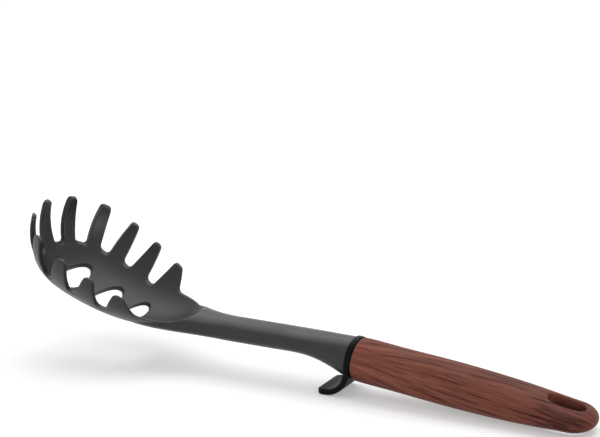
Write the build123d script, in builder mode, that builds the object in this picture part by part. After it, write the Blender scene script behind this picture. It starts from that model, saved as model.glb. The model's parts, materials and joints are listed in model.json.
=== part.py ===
from build123d import *
from math import asin, cos, hypot, pi, radians, sin, tan
import os

os.makedirs("parts", exist_ok=True)

# Pasta server standing on the tongue of its collar and the belly of its grip.
# X runs from the toothed bowl to the end of the grip, Z is up from the table,
# and Y is the width. The origin is on the table, under the middle of the server.

# Clearances
overrun = 60.0
fit_clearance = 0.15
seat_clearance = 0.05

# Grip
grip_length = 127.5
grip_width = 29.4
grip_height = 22.0
mouth_height = 17.8
mouth_edge = 0.9
grip_steps = 6
mouth_narrowing_share = 0.21
widest_share = 0.78
narrowing_power = 1.8
end_thinning_share = 0.40
level_share = 0.33
thinning_power = 2.1
cap_start_share = 0.90
cap_angles = (20, 38, 54, 68, 79, 86)
heel_share = 0.74
heel_height_share = 0.80

# Hang slot through the end of the grip
slot_width = 10.4
slot_length = 19.6
slot_back = 16.2
slot_edge = 1.1

# Core of the grip, with the socket for the tang and the bore for the weight
core_length = 88.0
core_width = 17.2
core_height = 14.4
core_corner = 4.0
weight_diameter = 8.0
weight_length = 38.0
weight_edge = 0.6

# Tang of the head and its two snap barbs
tang_width = 13.0
tang_thickness = 8.0
tang_depth = 46.0
tang_edge = 1.2
barb_length = 6.0
barb_rise = 0.9
barb_back = 8.0
barb_thickness = 5.0

# Collar plate and its tongue
plate_thickness = 3.0
collar_lip = 0.35
tongue_bend = 13.2
tongue_reach = 18.4
tongue_corner = 4.0
tongue_tip_share = 0.49

# Neck, from the collar into the bowl
neck_reach = 123.0
neck_width = 20.6
neck_height = 12.0
neck_level = 22.6
neck_steps = 14
foot_reach = 34.4
foot_drop = 12.0
foot_spread = 1.45
flare_power = 2
spread_start = 68.0
spread_full = 115.0
bowl_spread = 8.6
bowl_rise = 4.0
bowl_lift = 3.0
spread_power = 3
lift_power = 1.5

# Bowl, an egg shape about an inclined axis, which widens in its tail
bowl_reach = 151.6
bowl_level = 67.0
bowl_tilt = 26.6
bowl_front = 34.0
bowl_rear = 74.0
bowl_radius = 38.8
bowl_wall = 2.5
tail_wall = 1.5
tail_widening_share = 0.4
cavity_widening_share = 0.85
widening_power = 6
egg_steps = 12
egg_end_angle = 86

# Teeth, whose tips lie in one inclined plane, and the gaps between them
tip_tilt = 29.8
tip_depth = 7.2
tip_radius = 2.4
gap_root_radius = 2.2
gap_inside = 5.0
gap_headings = (0, 35, 61, 83, 85)
gap_mouths_share = (0.353, 0.369, 0.331, 0.303, 0.303)
gap_mouth_places_share = (0.2536, 0.2461, 0.3497, 0.4531, 0.8539)
gap_roots_share = (0.164, 0.169, 0.132, 0.134, 0.132)
gap_root_places_share = (0.2149, 0.2464, 0.3198, 0.4513, 0.8552)
gap_depths_share = (0.566, 0.535, 0.508, 0.462, 0.408)

# Rear edge of the last tooth and the rim behind it
rear_tooth_back = 41.8
rear_tooth_foot = 34.2
rear_tooth_foot_level = 29.2
rear_tooth_blend = 3.5
tail_rim_end = 54.0
tail_rim_level = 25.8

# Drain holes in the floor of the bowl
drain_places_share = (-0.003, -0.567, -1.03)
drain_half_spans = (15.8, 14.4, 12.0)
drain_half_lengths = (6.2, 6.2, 5.0)

# Placing of the grip, which leans down to its end, and of the bowl
heel_reach = heel_share * grip_length
heel_half_height = grip_height / 2 * heel_height_share
rest_pitch = asin((mouth_height - heel_half_height) / heel_reach)
tilt = radians(bowl_tilt)
bowl_overhang = hypot(bowl_front * cos(tilt), bowl_radius * sin(tilt))
mouth_x = (bowl_reach + bowl_overhang - grip_length * cos(rest_pitch)) / 2
bowl_x = mouth_x - bowl_reach

grip_axis = Vector(cos(rest_pitch), 0, -sin(rest_pitch))
mouth_plane = Plane((mouth_x, 0, mouth_height), x_dir=(0, 1, 0), z_dir=grip_axis)
grip_top_plane = Plane(mouth_plane.origin, x_dir=grip_axis, z_dir=mouth_plane.y_dir)
forward = Vector(-cos(tilt), 0, sin(tilt))
upward = Vector(sin(tilt), 0, cos(tilt))
bowl_centre = Vector(bowl_x, 0, bowl_level)
tip_slant = radians(tip_tilt)
tip_forward = Vector(-cos(tip_slant), 0, sin(tip_slant))
tip_upward = Vector(sin(tip_slant), 0, cos(tip_slant))
tip_plane = Plane(bowl_centre - tip_upward * tip_depth, x_dir=tip_forward, z_dir=tip_upward)


def grip_side_point(along, above):
    """Side view point (X, Z) of a place given along and above the grip's axis."""
    point = mouth_plane.origin + grip_axis * along + mouth_plane.y_dir * above
    return point.X, point.Z


def grip_half_sizes(along):
    """Half width and half height of the grip at a distance from its mouth."""
    share = min(along / grip_length, cap_start_share)
    narrowing = max(0, 1 - share / widest_share) ** narrowing_power
    thinning = max(0, (share - level_share) / (cap_start_share - level_share)) ** thinning_power
    past = max(0, along / grip_length - cap_start_share) / (1 - cap_start_share)
    half_width = grip_width / 2 * (1 - mouth_narrowing_share * narrowing) * cos(asin(past))
    half_height = grip_height / 2 * (1 - end_thinning_share * thinning) * cos(asin(past))
    return half_width, half_height


def grip_section(along):
    """Oval section of the grip at a distance from its mouth."""
    with BuildSketch(mouth_plane.offset(along)) as section:
        Ellipse(*grip_half_sizes(along))
    return section.sketch


def bar_section(width, height, corner, clearance):
    """Rounded section in the mouth of the grip, with a clearance all round."""
    with BuildSketch(mouth_plane) as section:
        RectangleRounded(width + 2 * clearance, height + 2 * clearance, corner + clearance)
    return section.sketch


# Weight that balances the head
weight_start = tang_depth + fit_clearance * 2
with BuildPart() as balance_weight:
    with BuildSketch(mouth_plane.offset(weight_start + fit_clearance)):
        Circle(weight_diameter / 2)
    extrude(amount=weight_length)
    chamfer(balance_weight.edges().filter_by(GeomType.CIRCLE), length=weight_edge)
balance_weight.part.label = "balance_weight"

# Core of the grip
barb_end = tang_depth - barb_back
tang_socket = bar_section(tang_width, tang_thickness, tang_edge, fit_clearance)
with BuildPart() as grip_core:
    extrude(bar_section(core_width, core_height, core_corner, 0), amount=core_length)
    extrude(tang_socket, amount=weight_start, mode=Mode.SUBTRACT)
    with BuildSketch(mouth_plane.offset(weight_start)):
        Circle(weight_diameter / 2 + fit_clearance)
    extrude(amount=weight_length + 2 * fit_clearance, mode=Mode.SUBTRACT)
    with BuildSketch(grip_top_plane):
        with Locations((barb_end - barb_length / 2, 0)):
            Rectangle(
                barb_length + 2 * fit_clearance,
                tang_width + 2 * (barb_rise + fit_clearance),
            )
    extrude(amount=barb_thickness / 2 + fit_clearance, both=True, mode=Mode.SUBTRACT)
grip_core.part.label = "grip_core"

# Shell of the grip
grip_stations = [
    grip_length * cap_start_share * step / grip_steps for step in range(grip_steps + 1)
]
cap_stations = [
    grip_length * (cap_start_share + (1 - cap_start_share) * sin(radians(angle)))
    for angle in cap_angles
]
core_pocket = bar_section(core_width, core_height, core_corner, fit_clearance)
with BuildPart() as grip_shell:
    loft(sections=[grip_section(along) for along in grip_stations + cap_stations])
    fillet(grip_shell.edges().group_by(Axis(mouth_plane.origin, grip_axis))[0], mouth_edge)
    with BuildSketch(grip_top_plane):
        with Locations((grip_length - slot_back, 0)):
            SlotOverall(slot_length, slot_width)
    extrude(amount=grip_height, both=True, mode=Mode.SUBTRACT)
    slot_rims = grip_shell.edges(Select.LAST).filter_by(GeomType.LINE, reverse=True)
    fillet(slot_rims, slot_edge)
    extrude(core_pocket, amount=core_length + fit_clearance, mode=Mode.SUBTRACT)
grip_shell.part.label = "grip_shell"

# Collar plate, bent forward at its foot into the tongue
plate_back = -seat_clearance
plate_front = plate_back - plate_thickness
back_foot = mouth_x - mouth_height * tan(rest_pitch) + plate_back / cos(rest_pitch)
front_foot = back_foot - plate_thickness * (1 - sin(rest_pitch)) / cos(rest_pitch)
tongue_tip = mouth_x - tongue_reach
mouth_half_width, mouth_half_height = grip_half_sizes(0)
collar_half_width = mouth_half_width + collar_lip
collar_half_height = mouth_half_height + collar_lip
tip_round = plate_thickness * tongue_tip_share
with BuildPart() as rest_collar:
    with BuildSketch(Plane.XZ):
        with BuildLine():
            FilletPolyline(
                grip_side_point(plate_back, mouth_height),
                (back_foot, 0),
                (tongue_tip, 0),
                (tongue_tip, plate_thickness),
                (front_foot, plate_thickness),
                grip_side_point(plate_front, mouth_height),
                radius=(tongue_bend, tip_round, tip_round, tongue_bend - plate_thickness),
            )
            Line(
                grip_side_point(plate_front, mouth_height),
                grip_side_point(plate_back, mouth_height),
            )
        make_face()
    extrude(amount=collar_half_width, both=True)
    with BuildSketch(mouth_plane):
        Ellipse(collar_half_width, collar_half_height)
        with Locations((0, -overrun / 2)):
            Rectangle(collar_half_width * 2, overrun)
    extrude(amount=overrun, both=True, mode=Mode.INTERSECT)
    with BuildSketch(Plane.XY):
        with Locations((tongue_tip + overrun / 2, 0)):
            RectangleRounded(overrun, collar_half_width * 2, tongue_corner)
    extrude(amount=overrun, both=True, mode=Mode.INTERSECT)
    extrude(tang_socket, amount=-overrun, mode=Mode.SUBTRACT)
rest_collar.part.label = "rest_collar"

# Serving head: bowl, neck and tang in one moulding
neck_front = plate_front - seat_clearance


def neck_section(reach):
    """Upright oval section of the neck, at a distance from the grip's mouth."""
    foot = max(0, 1 - reach / foot_reach) ** flare_power
    past = max(0, reach - spread_start)
    spread = sin(pi / 2 * past / (spread_full - spread_start)) ** spread_power
    lift = (past / (neck_reach - spread_start)) ** lift_power
    half_width = neck_width / 2 + foot_spread * foot + bowl_spread * spread
    top = neck_level + neck_height / 2 + bowl_rise * spread
    bottom = neck_level - neck_height / 2 - foot_drop * foot + bowl_lift * lift
    centre = (mouth_x - reach, 0, (top + bottom) / 2)
    with BuildSketch(Plane(centre, x_dir=(0, 1, 0), z_dir=(1, 0, 0))) as section:
        Ellipse(half_width, (top - bottom) / 2)
    return section.sketch


def egg_sections(front, rear, radius, widening_share):
    """Sections of an egg across the axis of the bowl, from the tail to the front."""
    sections = []
    for step in range(egg_steps + 1):
        angle = radians(egg_end_angle) * (2 * step / egg_steps - 1)
        tail_share = max(0, -sin(angle))
        reach = (rear if tail_share > 0 else front) * sin(angle)
        half_depth = radius * cos(angle)
        half_width = half_depth * (1 + widening_share * tail_share**widening_power)
        centre = bowl_centre + forward * reach
        with BuildSketch(Plane(centre, x_dir=upward, z_dir=forward)) as section:
            Ellipse(half_depth, half_width)
        sections.append(section.sketch)
    return sections


def tip_side_point(ahead, above):
    """Side view point (X, Z) of a place given along and above the plane of the tips."""
    point = tip_plane.origin + tip_forward * ahead + tip_upward * above
    return point.X, point.Z


# Gaps on one side of the bowl: notches with a round root, which also round the tips
gaps = zip(
    gap_headings,
    gap_mouths_share,
    gap_mouth_places_share,
    gap_roots_share,
    gap_root_places_share,
    gap_depths_share,
)
with BuildPart() as tooth_gaps:
    for heading, mouth_share, mouth_place, root_share, root_place, depth_share in gaps:
        angle = radians(heading)
        outward = tip_forward * cos(angle) + Vector(0, 1, 0) * sin(angle)
        across = Vector(0, 1, 0) * cos(angle) - tip_forward * sin(angle)
        depth = bowl_radius * depth_share
        left = bowl_radius * (mouth_place - mouth_share / 2)
        right = bowl_radius * (mouth_place + mouth_share / 2)
        root_left = bowl_radius * (root_place - root_share / 2)
        root_right = bowl_radius * (root_place + root_share / 2)
        with BuildSketch(Plane(tip_plane.origin, across, -outward).offset(-gap_inside)):
            with BuildLine():
                FilletPolyline(
                    (left - tip_radius, overrun),
                    (left - tip_radius, 0),
                    (left, 0),
                    (root_left, -depth),
                    (root_right, -depth),
                    (right, 0),
                    (right + tip_radius, 0),
                    (right + tip_radius, overrun),
                    radius=(0, tip_radius, gap_root_radius, gap_root_radius, tip_radius, 0),
                )
                Line((right + tip_radius, overrun), (left - tip_radius, overrun))
            make_face()
        extrude(amount=-overrun)

outer_egg = egg_sections(bowl_front, bowl_rear, bowl_radius, tail_widening_share)
inner_egg = egg_sections(
    bowl_front - bowl_wall,
    bowl_rear - tail_wall,
    bowl_radius - bowl_wall,
    cavity_widening_share,
)
with BuildPart() as serving_head:
    loft(sections=outer_egg)
    with BuildSketch(Plane.XZ):
        with BuildLine():
            FilletPolyline(
                tip_side_point(overrun, 0),
                tip_side_point(-rear_tooth_back, 0),
                (bowl_x + rear_tooth_foot, rear_tooth_foot_level),
                (bowl_x + tail_rim_end, tail_rim_level),
                (bowl_x + bowl_rear, tail_rim_level),
                (bowl_x + bowl_rear, bowl_level + overrun),
                (bowl_x - overrun, bowl_level + overrun),
                radius=(0, tip_radius, rear_tooth_blend, 0, 0, 0, 0),
                close=True,
            )
        make_face()
    extrude(amount=overrun, both=True, mode=Mode.SUBTRACT)
    loft(sections=[neck_section(neck_reach * step / neck_steps) for step in range(neck_steps + 1)])
    loft(sections=inner_egg, mode=Mode.SUBTRACT)
    add(tooth_gaps.part, mode=Mode.SUBTRACT)
    add(tooth_gaps.part.mirror(Plane.XZ), mode=Mode.SUBTRACT)
    with BuildSketch(tip_plane):
        for share, span, length in zip(drain_places_share, drain_half_spans, drain_half_lengths):
            with Locations((bowl_radius * share, 0)):
                Ellipse(length, span)
    extrude(amount=-overrun, mode=Mode.SUBTRACT)
    with BuildSketch(Plane.XZ):
        with BuildLine():
            FilletPolyline(
                grip_side_point(neck_front, overrun),
                (front_foot - seat_clearance, plate_thickness + seat_clearance),
                (front_foot - overrun, plate_thickness + seat_clearance),
                (front_foot - overrun, -overrun),
                (front_foot + overrun, -overrun),
                grip_side_point(overrun, overrun),
                radius=(0, tongue_bend - plate_thickness - seat_clearance, 0, 0, 0, 0),
                close=True,
            )
        make_face()
    extrude(amount=overrun, both=True, mode=Mode.SUBTRACT)
    with BuildSketch(mouth_plane.offset(neck_front - tang_edge)):
        RectangleRounded(tang_width, tang_thickness, tang_edge)
    extrude(amount=tang_depth - neck_front + tang_edge)
    with BuildSketch(grip_top_plane):
        with BuildLine():
            Polyline(
                (barb_end, tang_width / 2),
                (barb_end - barb_length, tang_width / 2 + barb_rise),
                (barb_end - barb_length, -tang_width / 2 - barb_rise),
                (barb_end, -tang_width / 2),
                close=True,
            )
        make_face()
    extrude(amount=barb_thickness / 2, both=True)
serving_head.part.label = "serving_head"

export_step(serving_head.part, "parts/serving_head.step")
export_step(rest_collar.part, "parts/rest_collar.step")
export_step(grip_core.part, "parts/grip_core.step")
export_step(grip_shell.part, "parts/grip_shell.step")
export_step(balance_weight.part, "parts/balance_weight.step")
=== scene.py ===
import bpy
import json
from math import cos, radians, sin
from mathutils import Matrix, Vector

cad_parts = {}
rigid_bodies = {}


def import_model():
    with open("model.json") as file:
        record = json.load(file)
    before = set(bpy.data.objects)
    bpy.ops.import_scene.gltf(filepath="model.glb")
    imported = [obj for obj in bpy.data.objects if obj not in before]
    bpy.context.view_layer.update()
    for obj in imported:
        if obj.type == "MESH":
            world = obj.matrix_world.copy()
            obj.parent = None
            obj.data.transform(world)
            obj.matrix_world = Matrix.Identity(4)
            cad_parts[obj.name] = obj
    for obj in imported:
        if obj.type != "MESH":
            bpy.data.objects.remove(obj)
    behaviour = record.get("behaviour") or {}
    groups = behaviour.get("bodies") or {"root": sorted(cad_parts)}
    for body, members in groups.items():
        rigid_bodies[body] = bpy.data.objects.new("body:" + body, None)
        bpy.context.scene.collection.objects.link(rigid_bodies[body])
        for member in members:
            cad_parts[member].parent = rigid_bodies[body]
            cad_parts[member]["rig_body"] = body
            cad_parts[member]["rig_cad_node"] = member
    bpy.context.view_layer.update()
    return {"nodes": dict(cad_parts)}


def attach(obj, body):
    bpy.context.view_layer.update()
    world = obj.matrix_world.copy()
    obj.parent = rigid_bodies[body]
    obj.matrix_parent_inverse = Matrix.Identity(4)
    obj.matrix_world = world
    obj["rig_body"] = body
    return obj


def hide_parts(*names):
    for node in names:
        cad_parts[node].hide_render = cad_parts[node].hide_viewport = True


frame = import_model()
bpy.ops.object.select_all(action="DESELECT")

# Camera, at the angle of the photograph
camera_heading = radians(27.14)
camera_height = radians(16.20)
camera_distance = 1.1998
camera_aim = Vector((-0.00347, 0.0, 0.08662))
camera_lens = 144.0
camera_sensor = 36.0

# Light: what the floor glows for the camera, what the world gives, and the softboxes
# with their place, aim, width and power in watts
floor_glow = 0.32
world_level = 0.60
softboxes = {
    "back_softbox": ((-0.10, 0.50, 1.05), (0.0, 0.0, 0.0), 1.2, 7.5),
    "right_softbox": ((1.05, -1.25, 0.16), (-0.1, 0.0, 0.05), 0.5, 7.0),
    "left_softbox": ((-1.3, -0.6, 0.25), (0.0, 0.0, 0.03), 0.6, 4.0),
}
floor_size = 12.0
floor_drop = 0.0003

# Soft edges of the mouldings: voxel, rounds of smoothing, and most triangles
head_softening = (0.00018, 60, 170000)
collar_softening = (0.0002, 24, 60000)
merge_distance = 0.000002

# Moulded skin
skin_cloud_scale = 55.0
skin_stops = (0.30, 0.72)
skin_depth = 0.0001

# Grip, whose wood grain runs along its axis and fans out from a point before its mouth
grip_mouth = Vector((0.0296, 0.0, 0.0178))
grip_pitch = radians(5.47)
grip_length = 0.128
grip_girth_radius = 0.0135
grain_fan_start = 0.044
grain_fan_middle = 0.104
grain_fan_offset = 0.009
grain_stretch = 0.055
grain_warp = 0.004
grain_warp_scale = 16.0

# Strokes of the grain, per metre across, and how dark each kind comes out; the strokes
# grow darker from the grip's top to its underside, which is painted shade
stroke_scale = 560.0
patch_scale = 130.0
thread_scale = 1500.0
stroke_in_patch = 0.40
stroke_on_top = 0.28
stroke_strength_in_painted_shade = 0.70
thread_darkness = 0.40
painted_shade_start_height = 0.006
painted_shade_full_height = -0.013
mouth_brightness = 1.10
end_brightness = 0.82
wood_roughness = 0.55
wood_level = 0.12

# Colours of the finishes
nylon_dark = (0.0095, 0.0093, 0.0092, 1)
nylon_light = (0.0165, 0.0160, 0.0158, 1)
collar_colour = (0.0035, 0.0035, 0.0030, 1)
wood_dark = (0.035, 0.0080, 0.0065, 1)
wood_middle = (0.155, 0.045, 0.031, 1)
wood_light = (0.230, 0.075, 0.049, 1)
core_colour = (0.012, 0.012, 0.012, 1)
steel_dark = (0.42, 0.43, 0.45, 1)
steel_colour = (0.52, 0.53, 0.55, 1)
floor_colour = (0.80, 0.80, 0.81, 1)
white = (1, 1, 1, 1)


def new_material(name):
    """Material with a Principled BSDF, whose nodes are returned with it."""
    material = bpy.data.materials.new(name)
    material.use_nodes = True
    nodes = material.node_tree.nodes
    return material, nodes, material.node_tree.links, nodes["Principled BSDF"]


def add_node(nodes, kind, **values):
    """Node of a kind, with its properties, or its inputs by name, set to values."""
    node = nodes.new(kind)
    for key, value in values.items():
        if hasattr(node, key):
            setattr(node, key, value)
        else:
            node.inputs[key.replace("_", " ")].default_value = value
    return node


def colour_ramp(nodes, stops):
    """Colour ramp with (position, colour) stops."""
    ramp = nodes.new("ShaderNodeValToRGB")
    elements = ramp.color_ramp.elements
    while len(elements) < len(stops):
        elements.new(0.5)
    for element, (position, colour) in zip(elements, stops):
        element.position = position
        element.color = colour
    return ramp


def moulded_skin_group():
    """Fine skin of a moulding: a slow cloud, fine specks and a fine height."""
    group = bpy.data.node_groups.new("moulded_skin", "ShaderNodeTree")
    interface = group.interface
    interface.new_socket("Vector", in_out="INPUT", socket_type="NodeSocketVector")
    interface.new_socket("Skin Scale", in_out="INPUT", socket_type="NodeSocketFloat")
    interface.new_socket("Cloud Scale", in_out="INPUT", socket_type="NodeSocketFloat")
    interface.new_socket("Cloud", in_out="OUTPUT", socket_type="NodeSocketFloat")
    interface.new_socket("Speck", in_out="OUTPUT", socket_type="NodeSocketFloat")
    interface.new_socket("Height", in_out="OUTPUT", socket_type="NodeSocketFloat")
    nodes, links = group.nodes, group.links
    inputs = nodes.new("NodeGroupInput")
    outputs = nodes.new("NodeGroupOutput")
    cloud = add_node(nodes, "ShaderNodeTexNoise", Detail=3.0, Roughness=0.5)
    speck = add_node(nodes, "ShaderNodeTexNoise", Detail=2.0, Roughness=0.6)
    grain = add_node(nodes, "ShaderNodeTexVoronoi", feature="SMOOTH_F1")
    mixed = add_node(nodes, "ShaderNodeMath", operation="MULTIPLY_ADD")
    mixed.inputs[1].default_value = 0.5
    for texture in (cloud, speck, grain):
        links.new(inputs.outputs["Vector"], texture.inputs["Vector"])
    links.new(inputs.outputs["Cloud Scale"], cloud.inputs["Scale"])
    links.new(inputs.outputs["Skin Scale"], speck.inputs["Scale"])
    links.new(inputs.outputs["Skin Scale"], grain.inputs["Scale"])
    links.new(grain.outputs["Distance"], mixed.inputs[0])
    links.new(speck.outputs["Fac"], mixed.inputs[2])
    links.new(cloud.outputs["Fac"], outputs.inputs["Cloud"])
    links.new(speck.outputs["Fac"], outputs.inputs["Speck"])
    links.new(mixed.outputs[0], outputs.inputs["Height"])
    return group


moulded_skin = moulded_skin_group()


def moulded_plastic(name, dark, light, skin_scale, roughness, bump, level):
    """Moulded plastic with specks of colour, cloudy gloss and a fine skin."""
    material, nodes, links, shader = new_material(name)
    place = nodes.new("ShaderNodeTexCoord")
    skin = nodes.new("ShaderNodeGroup")
    skin.node_tree = moulded_skin
    skin.inputs["Skin Scale"].default_value = skin_scale
    skin.inputs["Cloud Scale"].default_value = skin_cloud_scale
    colour = colour_ramp(nodes, tuple(zip(skin_stops, (dark, light))))
    gloss = add_node(nodes, "ShaderNodeMapRange")
    gloss.inputs["From Min"].default_value = 0.3
    gloss.inputs["From Max"].default_value = 0.7
    gloss.inputs["To Min"].default_value = roughness - 0.05
    gloss.inputs["To Max"].default_value = roughness + 0.06
    height = add_node(nodes, "ShaderNodeBump", Strength=bump, Distance=skin_depth)
    links.new(place.outputs["Object"], skin.inputs["Vector"])
    links.new(skin.outputs["Speck"], colour.inputs["Fac"])
    links.new(skin.outputs["Cloud"], gloss.inputs["Value"])
    links.new(skin.outputs["Height"], height.inputs["Height"])
    links.new(colour.outputs["Color"], shader.inputs["Base Color"])
    links.new(gloss.outputs["Result"], shader.inputs["Roughness"])
    links.new(height.outputs["Normal"], shader.inputs["Normal"])
    shader.inputs["Specular IOR Level"].default_value = level
    return material


def grip_wood():
    """Printed wood effect: fine dark strokes that fan out over a red brown, drawn
    darker on the underside as painted shade.
    """
    material, nodes, links, shader = new_material("grip_wood_effect")

    def math(operation, first, second=None, third=None, clamp=False):
        node = nodes.new("ShaderNodeMath")
        node.operation = operation
        node.use_clamp = clamp
        for place, value in enumerate((first, second, third)):
            if isinstance(value, (int, float)):
                node.inputs[place].default_value = value
            elif value is not None:
                links.new(value, node.inputs[place])
        return node.outputs[0]

    def noise(vector, scale, detail, roughness):
        node = nodes.new("ShaderNodeTexNoise")
        node.inputs["Scale"].default_value = scale
        node.inputs["Detail"].default_value = detail
        node.inputs["Roughness"].default_value = roughness
        links.new(vector, node.inputs["Vector"])
        return node

    place = nodes.new("ShaderNodeTexCoord")
    along = nodes.new("ShaderNodeMapping")
    along.vector_type = "TEXTURE"
    along.inputs["Location"].default_value = grip_mouth
    along.inputs["Rotation"].default_value = (0, grip_pitch, 0)
    links.new(place.outputs["Object"], along.inputs["Vector"])
    warp = noise(along.outputs["Vector"], grain_warp_scale, 2.0, 0.5)
    push = nodes.new("ShaderNodeVectorMath")
    push.operation = "MULTIPLY_ADD"
    push.inputs[1].default_value = (0.0, grain_warp, grain_warp)
    links.new(warp.outputs["Color"], push.inputs[0])
    links.new(along.outputs["Vector"], push.inputs[2])
    split = nodes.new("ShaderNodeSeparateXYZ")
    links.new(push.outputs["Vector"], split.inputs["Vector"])
    from_fan = math("ADD", split.outputs["X"], grain_fan_start)
    spread = math("DIVIDE", grain_fan_middle, from_fan)
    turn = math("ARCTAN2", split.outputs["Y"], split.outputs["Z"])
    round_grip = math("MULTIPLY_ADD", turn, grip_girth_radius, grain_fan_offset)
    joined = nodes.new("ShaderNodeCombineXYZ")
    links.new(math("MULTIPLY", split.outputs["X"], grain_stretch), joined.inputs["X"])
    links.new(math("MULTIPLY", round_grip, spread), joined.inputs["Z"])
    grain = joined.outputs["Vector"]

    strokes = noise(grain, stroke_scale, 1.0, 0.5).outputs["Fac"]
    broad = noise(grain, patch_scale, 1.5, 0.5).outputs["Fac"]
    fibre = noise(grain, thread_scale, 2.0, 0.6).outputs["Fac"]
    patches = math("MULTIPLY", math("SUBTRACT", broad, 0.38), 4.0, clamp=True)
    threads = math("MULTIPLY", math("SUBTRACT", fibre, 0.46), 6.0, clamp=True)
    streaks = math("MULTIPLY", math("SUBTRACT", strokes, 0.50), 9.0, clamp=True)
    # painted shade: the strokes grow darker from above the grip's axis down to its
    # underside
    underside_painted_shade = nodes.new("ShaderNodeMapRange")
    underside_painted_shade.inputs["From Min"].default_value = painted_shade_start_height
    underside_painted_shade.inputs["From Max"].default_value = painted_shade_full_height
    underside_painted_shade.inputs["To Min"].default_value = stroke_on_top
    underside_painted_shade.inputs["To Max"].default_value = stroke_strength_in_painted_shade
    links.new(split.outputs["Z"], underside_painted_shade.inputs["Value"])
    stroke_strength_with_shade = math("MULTIPLY_ADD", patches, stroke_in_patch, underside_painted_shade.outputs["Result"])
    strokes_with_painted_shade = math("MULTIPLY", streaks, stroke_strength_with_shade)
    # darkness of the grain strokes and threads, with the painted shade of the
    # underside in it
    grain_and_painted_shade = math("MULTIPLY_ADD", threads, thread_darkness, strokes_with_painted_shade, clamp=True)

    base = colour_ramp(nodes, ((0.36, wood_light), (0.64, wood_middle)))
    links.new(broad, base.inputs["Fac"])
    painted = nodes.new("ShaderNodeMix")
    painted.data_type = "RGBA"
    painted.inputs[7].default_value = wood_dark
    links.new(grain_and_painted_shade, painted.inputs[0])
    links.new(base.outputs["Color"], painted.inputs[6])
    # the colour grows darker from the grip's mouth towards its end
    fade = nodes.new("ShaderNodeMapRange")
    fade.inputs["From Max"].default_value = grip_length
    fade.inputs["To Min"].default_value = mouth_brightness
    fade.inputs["To Max"].default_value = end_brightness
    links.new(split.outputs["X"], fade.inputs["Value"])
    darker_towards_end = nodes.new("ShaderNodeMix")
    darker_towards_end.data_type = "RGBA"
    darker_towards_end.blend_type = "MULTIPLY"
    darker_towards_end.inputs[0].default_value = 1.0
    links.new(painted.outputs[2], darker_towards_end.inputs[6])
    links.new(fade.outputs["Result"], darker_towards_end.inputs[7])
    links.new(darker_towards_end.outputs[2], shader.inputs["Base Color"])
    roughness = math("MULTIPLY_ADD", grain_and_painted_shade, 0.10, wood_roughness)
    links.new(roughness, shader.inputs["Roughness"])
    relief = nodes.new("ShaderNodeBump")
    relief.invert = True
    relief.inputs["Strength"].default_value = 0.25
    relief.inputs["Distance"].default_value = skin_depth
    links.new(grain_and_painted_shade, relief.inputs["Height"])
    links.new(relief.outputs["Normal"], shader.inputs["Normal"])
    shader.inputs["Specular IOR Level"].default_value = wood_level
    return material


def turned_steel():
    """Plain steel of the weight, with fine tool marks."""
    material, nodes, links, shader = new_material("weight_steel")
    place = nodes.new("ShaderNodeTexCoord")
    marks = add_node(nodes, "ShaderNodeTexWave", Scale=180.0, Distortion=0.6)
    gloss = add_node(nodes, "ShaderNodeMapRange")
    gloss.inputs["To Min"].default_value = 0.28
    gloss.inputs["To Max"].default_value = 0.42
    shade = colour_ramp(nodes, ((0.0, steel_dark), (1.0, steel_colour)))
    links.new(place.outputs["Object"], marks.inputs["Vector"])
    links.new(marks.outputs["Fac"], gloss.inputs["Value"])
    links.new(marks.outputs["Fac"], shade.inputs["Fac"])
    links.new(shade.outputs["Color"], shader.inputs["Base Color"])
    links.new(gloss.outputs["Result"], shader.inputs["Roughness"])
    shader.inputs["Metallic"].default_value = 1.0
    return material


def dress(node, material):
    """Gives a CAD node its finish."""
    piece = frame["nodes"][node]
    if not piece.material_slots:
        piece.data.materials.append(material)
    for slot in piece.material_slots:
        slot.material = material


def moulding(node, name, material, softening):
    """Moulded piece in a CAD node's place, with the soft edges that a mould leaves."""
    voxel, rounds, most_triangles = softening
    piece = frame["nodes"][node].copy()
    piece.data = piece.data.copy()
    piece.name = name
    piece.data.name = name
    piece.parent = None
    bpy.context.scene.collection.objects.link(piece)
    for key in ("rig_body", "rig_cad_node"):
        if key in piece:
            del piece[key]
    bpy.ops.object.select_all(action="DESELECT")
    bpy.context.view_layer.objects.active = piece
    piece.select_set(True)
    bpy.ops.object.mode_set(mode="EDIT")
    bpy.ops.mesh.select_all(action="SELECT")
    bpy.ops.mesh.remove_doubles(threshold=merge_distance)
    bpy.ops.object.mode_set(mode="OBJECT")
    remesh = piece.modifiers.new("skin", "REMESH")
    remesh.mode = "VOXEL"
    remesh.voxel_size = voxel
    remesh.use_smooth_shade = True
    smooth = piece.modifiers.new("soften", "SMOOTH")
    smooth.factor = 0.5
    smooth.iterations = rounds
    for modifier in ("skin", "soften"):
        bpy.ops.object.modifier_apply(modifier=modifier)
    triangles = sum(len(face.vertices) - 2 for face in piece.data.polygons)
    thin = piece.modifiers.new("thin", "DECIMATE")
    thin.ratio = min(1.0, most_triangles / triangles)
    bpy.ops.object.modifier_apply(modifier="thin")
    bpy.ops.object.shade_smooth()
    piece.data.materials.clear()
    piece.data.materials.append(material)
    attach(piece, "root")
    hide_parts(node)


# Finishes: skin scale, roughness, strength of the skin's relief, specular level
head_nylon = moulded_plastic(
    "head_nylon", nylon_dark, nylon_light, 1300.0, 0.38, 0.45, 0.4
)
collar_black = moulded_plastic(
    "collar_black", collar_colour, collar_colour, 700.0, 0.36, 0.05, 0.06
)
core_plastic = moulded_plastic(
    "core_plastic", core_colour, nylon_dark, 900.0, 0.5, 0.2, 0.5
)
moulding("serving_head", "moulded_head", head_nylon, head_softening)
moulding(
    "rest_collar", "moulded_collar", collar_black, collar_softening
)
dress("serving_head", head_nylon)
dress("rest_collar", collar_black)
dress("grip_core", core_plastic)
dress("grip_shell", grip_wood())
dress("balance_weight", turned_steel())


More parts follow.
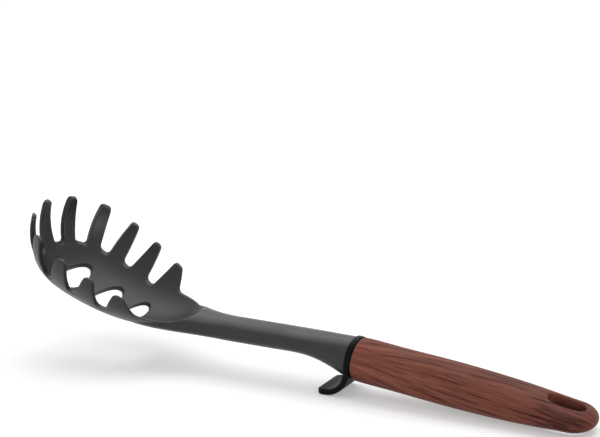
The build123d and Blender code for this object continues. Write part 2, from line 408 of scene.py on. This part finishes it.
def white_to_camera(nodes, links):
    """Output that is 1 for what is seen, mirrored or seen through, and 0 for light."""
    path = nodes.new("ShaderNodeLightPath")
    gloss = nodes.new("ShaderNodeMath")
    gloss.operation = "MAXIMUM"
    links.new(path.outputs["Is Camera Ray"], gloss.inputs[0])
    links.new(path.outputs["Is Glossy Ray"], gloss.inputs[1])
    clear = nodes.new("ShaderNodeMath")
    clear.operation = "MAXIMUM"
    links.new(gloss.outputs[0], clear.inputs[0])
    links.new(path.outputs["Is Transmission Ray"], clear.inputs[1])
    return clear.outputs[0]


# Floor: white to the camera and to gloss, with the soft shadow kept
bpy.ops.mesh.primitive_plane_add(size=floor_size, location=(0, 0, -floor_drop))
floor = bpy.context.object
floor.name = "floor"
floor_material, nodes, links, shader = new_material("floor_paper")
shader.inputs["Base Color"].default_value = floor_colour
shader.inputs["Roughness"].default_value = 0.9
shader.inputs["Specular IOR Level"].default_value = 0.0
seen = nodes.new("ShaderNodeMath")
seen.operation = "MULTIPLY"
seen.inputs[1].default_value = floor_glow
links.new(white_to_camera(nodes, links), seen.inputs[0])
shader.inputs["Emission Color"].default_value = white
links.new(seen.outputs[0], shader.inputs["Emission Strength"])
floor.data.materials.append(floor_material)

# World: white to the camera and to gloss, a plain level of light to the rest
world = bpy.data.worlds.new("studio")
bpy.context.scene.world = world
world.use_nodes = True
nodes, links = world.node_tree.nodes, world.node_tree.links
background = nodes["Background"]
background.inputs["Color"].default_value = white
level = nodes.new("ShaderNodeMapRange")
level.inputs["To Min"].default_value = world_level
level.inputs["To Max"].default_value = 1.0
links.new(white_to_camera(nodes, links), level.inputs["Value"])
links.new(level.outputs["Result"], background.inputs["Strength"])


def soft_light(name, place, aim, size, power):
    """Square softbox at a place, turned to its aim."""
    bpy.ops.object.light_add(type="AREA", location=place)
    lamp = bpy.context.object
    lamp.name = name
    lamp.data.size = size
    lamp.data.energy = power
    towards = Vector(aim) - Vector(place)
    lamp.rotation_euler = towards.to_track_quat("-Z", "Y").to_euler()


for softbox, settings in softboxes.items():
    soft_light(softbox, *settings)

camera_data = bpy.data.cameras.new("camera")
camera = bpy.data.objects.new("camera", camera_data)
bpy.context.scene.collection.objects.link(camera)
camera_data.sensor_width = camera_sensor
camera_data.lens = camera_lens
camera_data.clip_start = 0.05
camera_data.clip_end = 20.0
backwards = Vector((
    sin(camera_heading) * cos(camera_height),
    -cos(camera_heading) * cos(camera_height),
    sin(camera_height),
))
camera.location = camera_aim + backwards * camera_distance
camera.rotation_euler = (-backwards).to_track_quat("-Z", "Y").to_euler()
bpy.context.scene.camera = camera
bpy.context.scene.view_settings.view_transform = "Standard"
